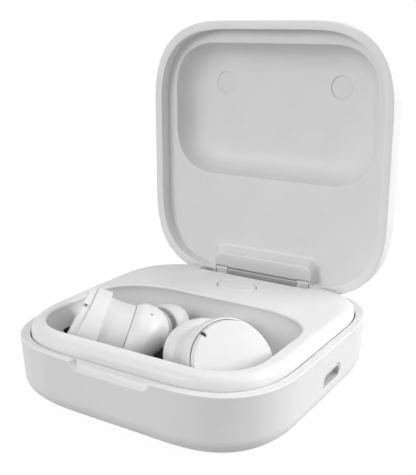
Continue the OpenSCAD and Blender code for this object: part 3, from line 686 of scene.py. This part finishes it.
# Each row of the bulge: its distance behind the band, then its reach up, down and to the sides.
bulge_front = 12
bulge = curve(((0.02, 8.7, 8.7, 8.7), (0.3, 8.95, 8.85, 8.9), (1.55, 9.6, 8.2, 9.6), (3, 9.8, 7.2, 9.7),
               (4.6, 9.73, 5.6, 9.1), (6.25, 9.2, 3.4, 7.7), (7.6, 8.2, 1.2, 5.9), (8.75, 7, -0.7, 4.0),
               (9.4, 5.6, -2.4, 2.3), (9.6, 4.5, -3.3, 0.9)))
nozzle_r, bore_r, nozzle_end, bore_floor = 2.6, 1.8, 15.2, 13.2
nozzle_shape = ((0, 5), (4.6, 7.4), (3.5, 8.2), (2.95, 8.9), (2.65, 9.8), (nozzle_r, 10.6),
                (nozzle_r, 14.8), (2.45, 15.1), (2.2, nozzle_end), (bore_r, nozzle_end),
                (bore_r, bore_floor), (0, bore_floor))
for side, body, name in HANDS:
    bm = bmesh.new()
    rings = []
    for s, up, down, wide in bulge:
        section = oval((down - up) / 2, 0, (up + down) / 2, wide, 0, 357, 119)
        rings.append([on_bud(side, x, y, bulge_front + s) for x, y in section])
    loft(bm, rings)
    lathe(bm, nozzle_shape, lambda x, y, s: on_nozzle(side, x, y, s), 48)
    fitted(piece(bm, name + "Housing", 50), body, bud_white, "bud_white", body + "_housing")

# VENT
# A pinhole in the top of the left earbud's housing that lets air out behind the driver, closed by a dark
# grey plug almost flush with the skin.
vent_at, vent_out = Vector((-4.66, -13.07, 21.31)), Vector((0.44, -0.03, 0.9)).normalized()
vent_a = vent_out.orthogonal().normalized()
vent_b = vent_out.cross(vent_a)
vent_r, vent_deep, vent_proud = 0.3, 0.8, 0.04
vent_shape = ((0, vent_proud), (0.24, vent_proud), (vent_r, 0), (vent_r, -vent_deep), (0, -vent_deep))
bm = bmesh.new()
lathe(bm, vent_shape, lambda x, y, s: vent_at + vent_a * x + vent_b * y + vent_out * s, 24)
vent_grey = surface("vent_grey", (0.16, 0.16, 0.16), 0.6, grain=0.4)
fitted(piece(bm, "LeftBudVent"), "left_bud", vent_grey, "driver_black")

# EAR TIPS
# A soft dome of slightly clear silicone stretched over each nozzle, with a skirt that turns back round it
# and a hole for the sound.
tip_bore, tip_mouth, tip_r, tip_s, tip_l, cuff_s = 2.62, 2.0, 5.3, 10.8, 5.6, 10.5
tip_shape = [(tip_bore, cuff_s), (3.0, 10.4), (3.6, 10.2), (4.2, 9.7), (4.6, 9.2), (4.85, 9.05)]
tip_shape += [(5.1, 9.2), (5.25, 9.6)] + oval(nozzle_r, tip_s, tip_r - nozzle_r, tip_l, 0, 85.5, 19)
tip_shape += arc(2.3, 16.1, 0.3, 80, 180, 5) + [(tip_mouth, 15.3), (tip_bore, 15.3), (tip_bore, cuff_s)]
tip_silicone = surface("tip_silicone", (0.72, 0.72, 0.73), 0.45, grain=0.1, subsurface=0.5)
for side, body, name in HANDS:
    bm = bmesh.new()
    lathe(bm, tip_shape, lambda x, y, s: on_nozzle(side, x, y, s), 72)
    fitted(piece(bm, name + "Tip", 60), body, tip_silicone, "tip_silicone", body + "_tip")

# EARBUD INSIDES
# What each housing holds: a plated steel cell, a black sound driver, a round board, a woven steel mesh in
# the nozzle's mouth, and gold plated contacts in its underside. They keep the shapes they are packed with.
insides = {
    "mesh": surface("mesh_steel", (0.2, 0.2, 0.21), 0.4, metal=0.8, grain=0.8, speck=2600),
    "battery": surface("cell_steel", (0.6, 0.6, 0.62), 0.3, metal=1.0),
    "driver": surface("driver_black", (0.04, 0.04, 0.045), 0.45),
    "contacts": contact_gold,
    "board": board_green,
}
for side, body, name in HANDS:
    for part, material in insides.items():
        dressed(material, f"{body}_{part}")

# CAMERA
# It looks at the open case from the front right and a little above, from about 190 mm away, so the near
# corner looms a little.
camera = bpy.data.objects.new("Camera", bpy.data.cameras.new("Camera"))
bpy.context.scene.collection.objects.link(camera)
camera.location = Vector((98.72, -152.73, 88.59)) * MM
aim = Vector((2.95, 0, 38.43)) * MM
camera.rotation_euler = (aim - camera.location).to_track_quat("-Z", "Y").to_euler()
camera.data.lens = 58.73
camera.data.sensor_width = 36
camera.data.clip_start = 0.005
bpy.context.scene.camera = camera

# SWEEP
# A plain pale sheet that the case stands on, curved up behind it, in metres. Seen straight or in a
# reflection it glows near white and keeps the shadow, and the world beyond it is white too.
sweep_r, sweep_back = 0.5, 0.5
sweep = [(-1.5, 0), (-0.8, 0), (0, 0)]
sweep += [(sweep_back + sweep_r * math.sin(u), sweep_r - sweep_r * math.cos(u)) for u in turn(0, 90, 10)]
sweep += [(1, 1.2), (1, 2)]
bm = bmesh.new()
rows = [[bm.verts.new((x, y, z)) for x in (-2, -1, 0, 1, 2)] for y, z in sweep]
for a, b in zip(rows, rows[1:]):
    for j in range(4):
        bm.faces.new((a[j], a[j + 1], b[j + 1], b[j]))
floor = piece(bm, "Floor")


# 1 for rays from the camera, also by way of metal or glass, and 0 for the light on the case
def rays_that_show(tree):
    path = tree.nodes.new("ShaderNodeLightPath")
    shown = path.outputs["Is Camera Ray"]
    for kind in ("Is Glossy Ray", "Is Transmission Ray"):
        either = tree.nodes.new("ShaderNodeMath")
        either.operation = "MAXIMUM"
        tree.links.new(shown, either.inputs[0])
        tree.links.new(path.outputs[kind], either.inputs[1])
        shown = either.outputs["Value"]
    return shown


def mixed(tree, share, plain, shown, output):
    mix = tree.nodes.new("ShaderNodeMixShader")
    tree.links.new(share, mix.inputs["Fac"])
    tree.links.new(plain, mix.inputs[1])
    tree.links.new(shown, mix.inputs[2])
    tree.links.new(mix.outputs["Shader"], tree.nodes[output].inputs["Surface"])


floor_tone, floor_glow, glow_share, sky_light = 0.3, 1.08, 0.90, 0.48
white = bpy.data.materials.new("sweep_white")
white.use_nodes = True
tree = white.node_tree
bsdf = tree.nodes["Principled BSDF"]
bsdf.inputs["Base Color"].default_value = (floor_tone, floor_tone, floor_tone, 1)
bsdf.inputs["Roughness"].default_value = 0.9
glow = tree.nodes.new("ShaderNodeEmission")
glow.inputs["Color"].default_value = (1, 1, 1, 1)
glow.inputs["Strength"].default_value = floor_glow
share = tree.nodes.new("ShaderNodeMath")
share.operation = "MULTIPLY"
share.inputs[1].default_value = glow_share
tree.links.new(rays_that_show(tree), share.inputs[0])
mixed(tree, share.outputs["Value"], bsdf.outputs["BSDF"], glow.outputs["Emission"], "Material Output")
floor.data.materials.append(white)

world = bpy.data.worlds.new("Studio")
world.use_nodes = True
tree = world.node_tree
skies = [tree.nodes["Background"], tree.nodes.new("ShaderNodeBackground")]
for sky, strength in zip(skies, (sky_light, 1)):
    sky.inputs["Color"].default_value = (1, 1, 1, 1)
    sky.inputs["Strength"].default_value = strength
mixed(tree, rays_that_show(tree), *[sky.outputs["Background"] for sky in skies], "World Output")
bpy.context.scene.world = world

# LAMPS
# Four soft round studio lamps, in metres and watts, aimed at the middle of the case. The brightest stands
# to the right, and another in front to the left.


def lamp(name, place, size, watts):
    light = bpy.data.lights.new(name, "AREA")
    light.shape, light.size, light.energy = "DISK", size, watts
    ob = bpy.data.objects.new(name, light)
    bpy.context.scene.collection.objects.link(ob)
    ob.location = place
    case_middle = Vector((0, 0, 0.03))
    ob.rotation_euler = (case_middle - Vector(place)).to_track_quat("-Z", "Y").to_euler()


lamp("FrontLeft", (-0.35, -0.85, 0.42), 0.6, 4.1)
lamp("Right", (0.85, 0.35, 0.35), 0.5, 5.3)
lamp("RightRear", (0.6, 0.55, 0.6), 0.5, 3.3)
lamp("Top", (-0.15, 0.1, 1.0), 0.6, 1.0)

bpy.context.scene.view_settings.view_transform = "Standard"
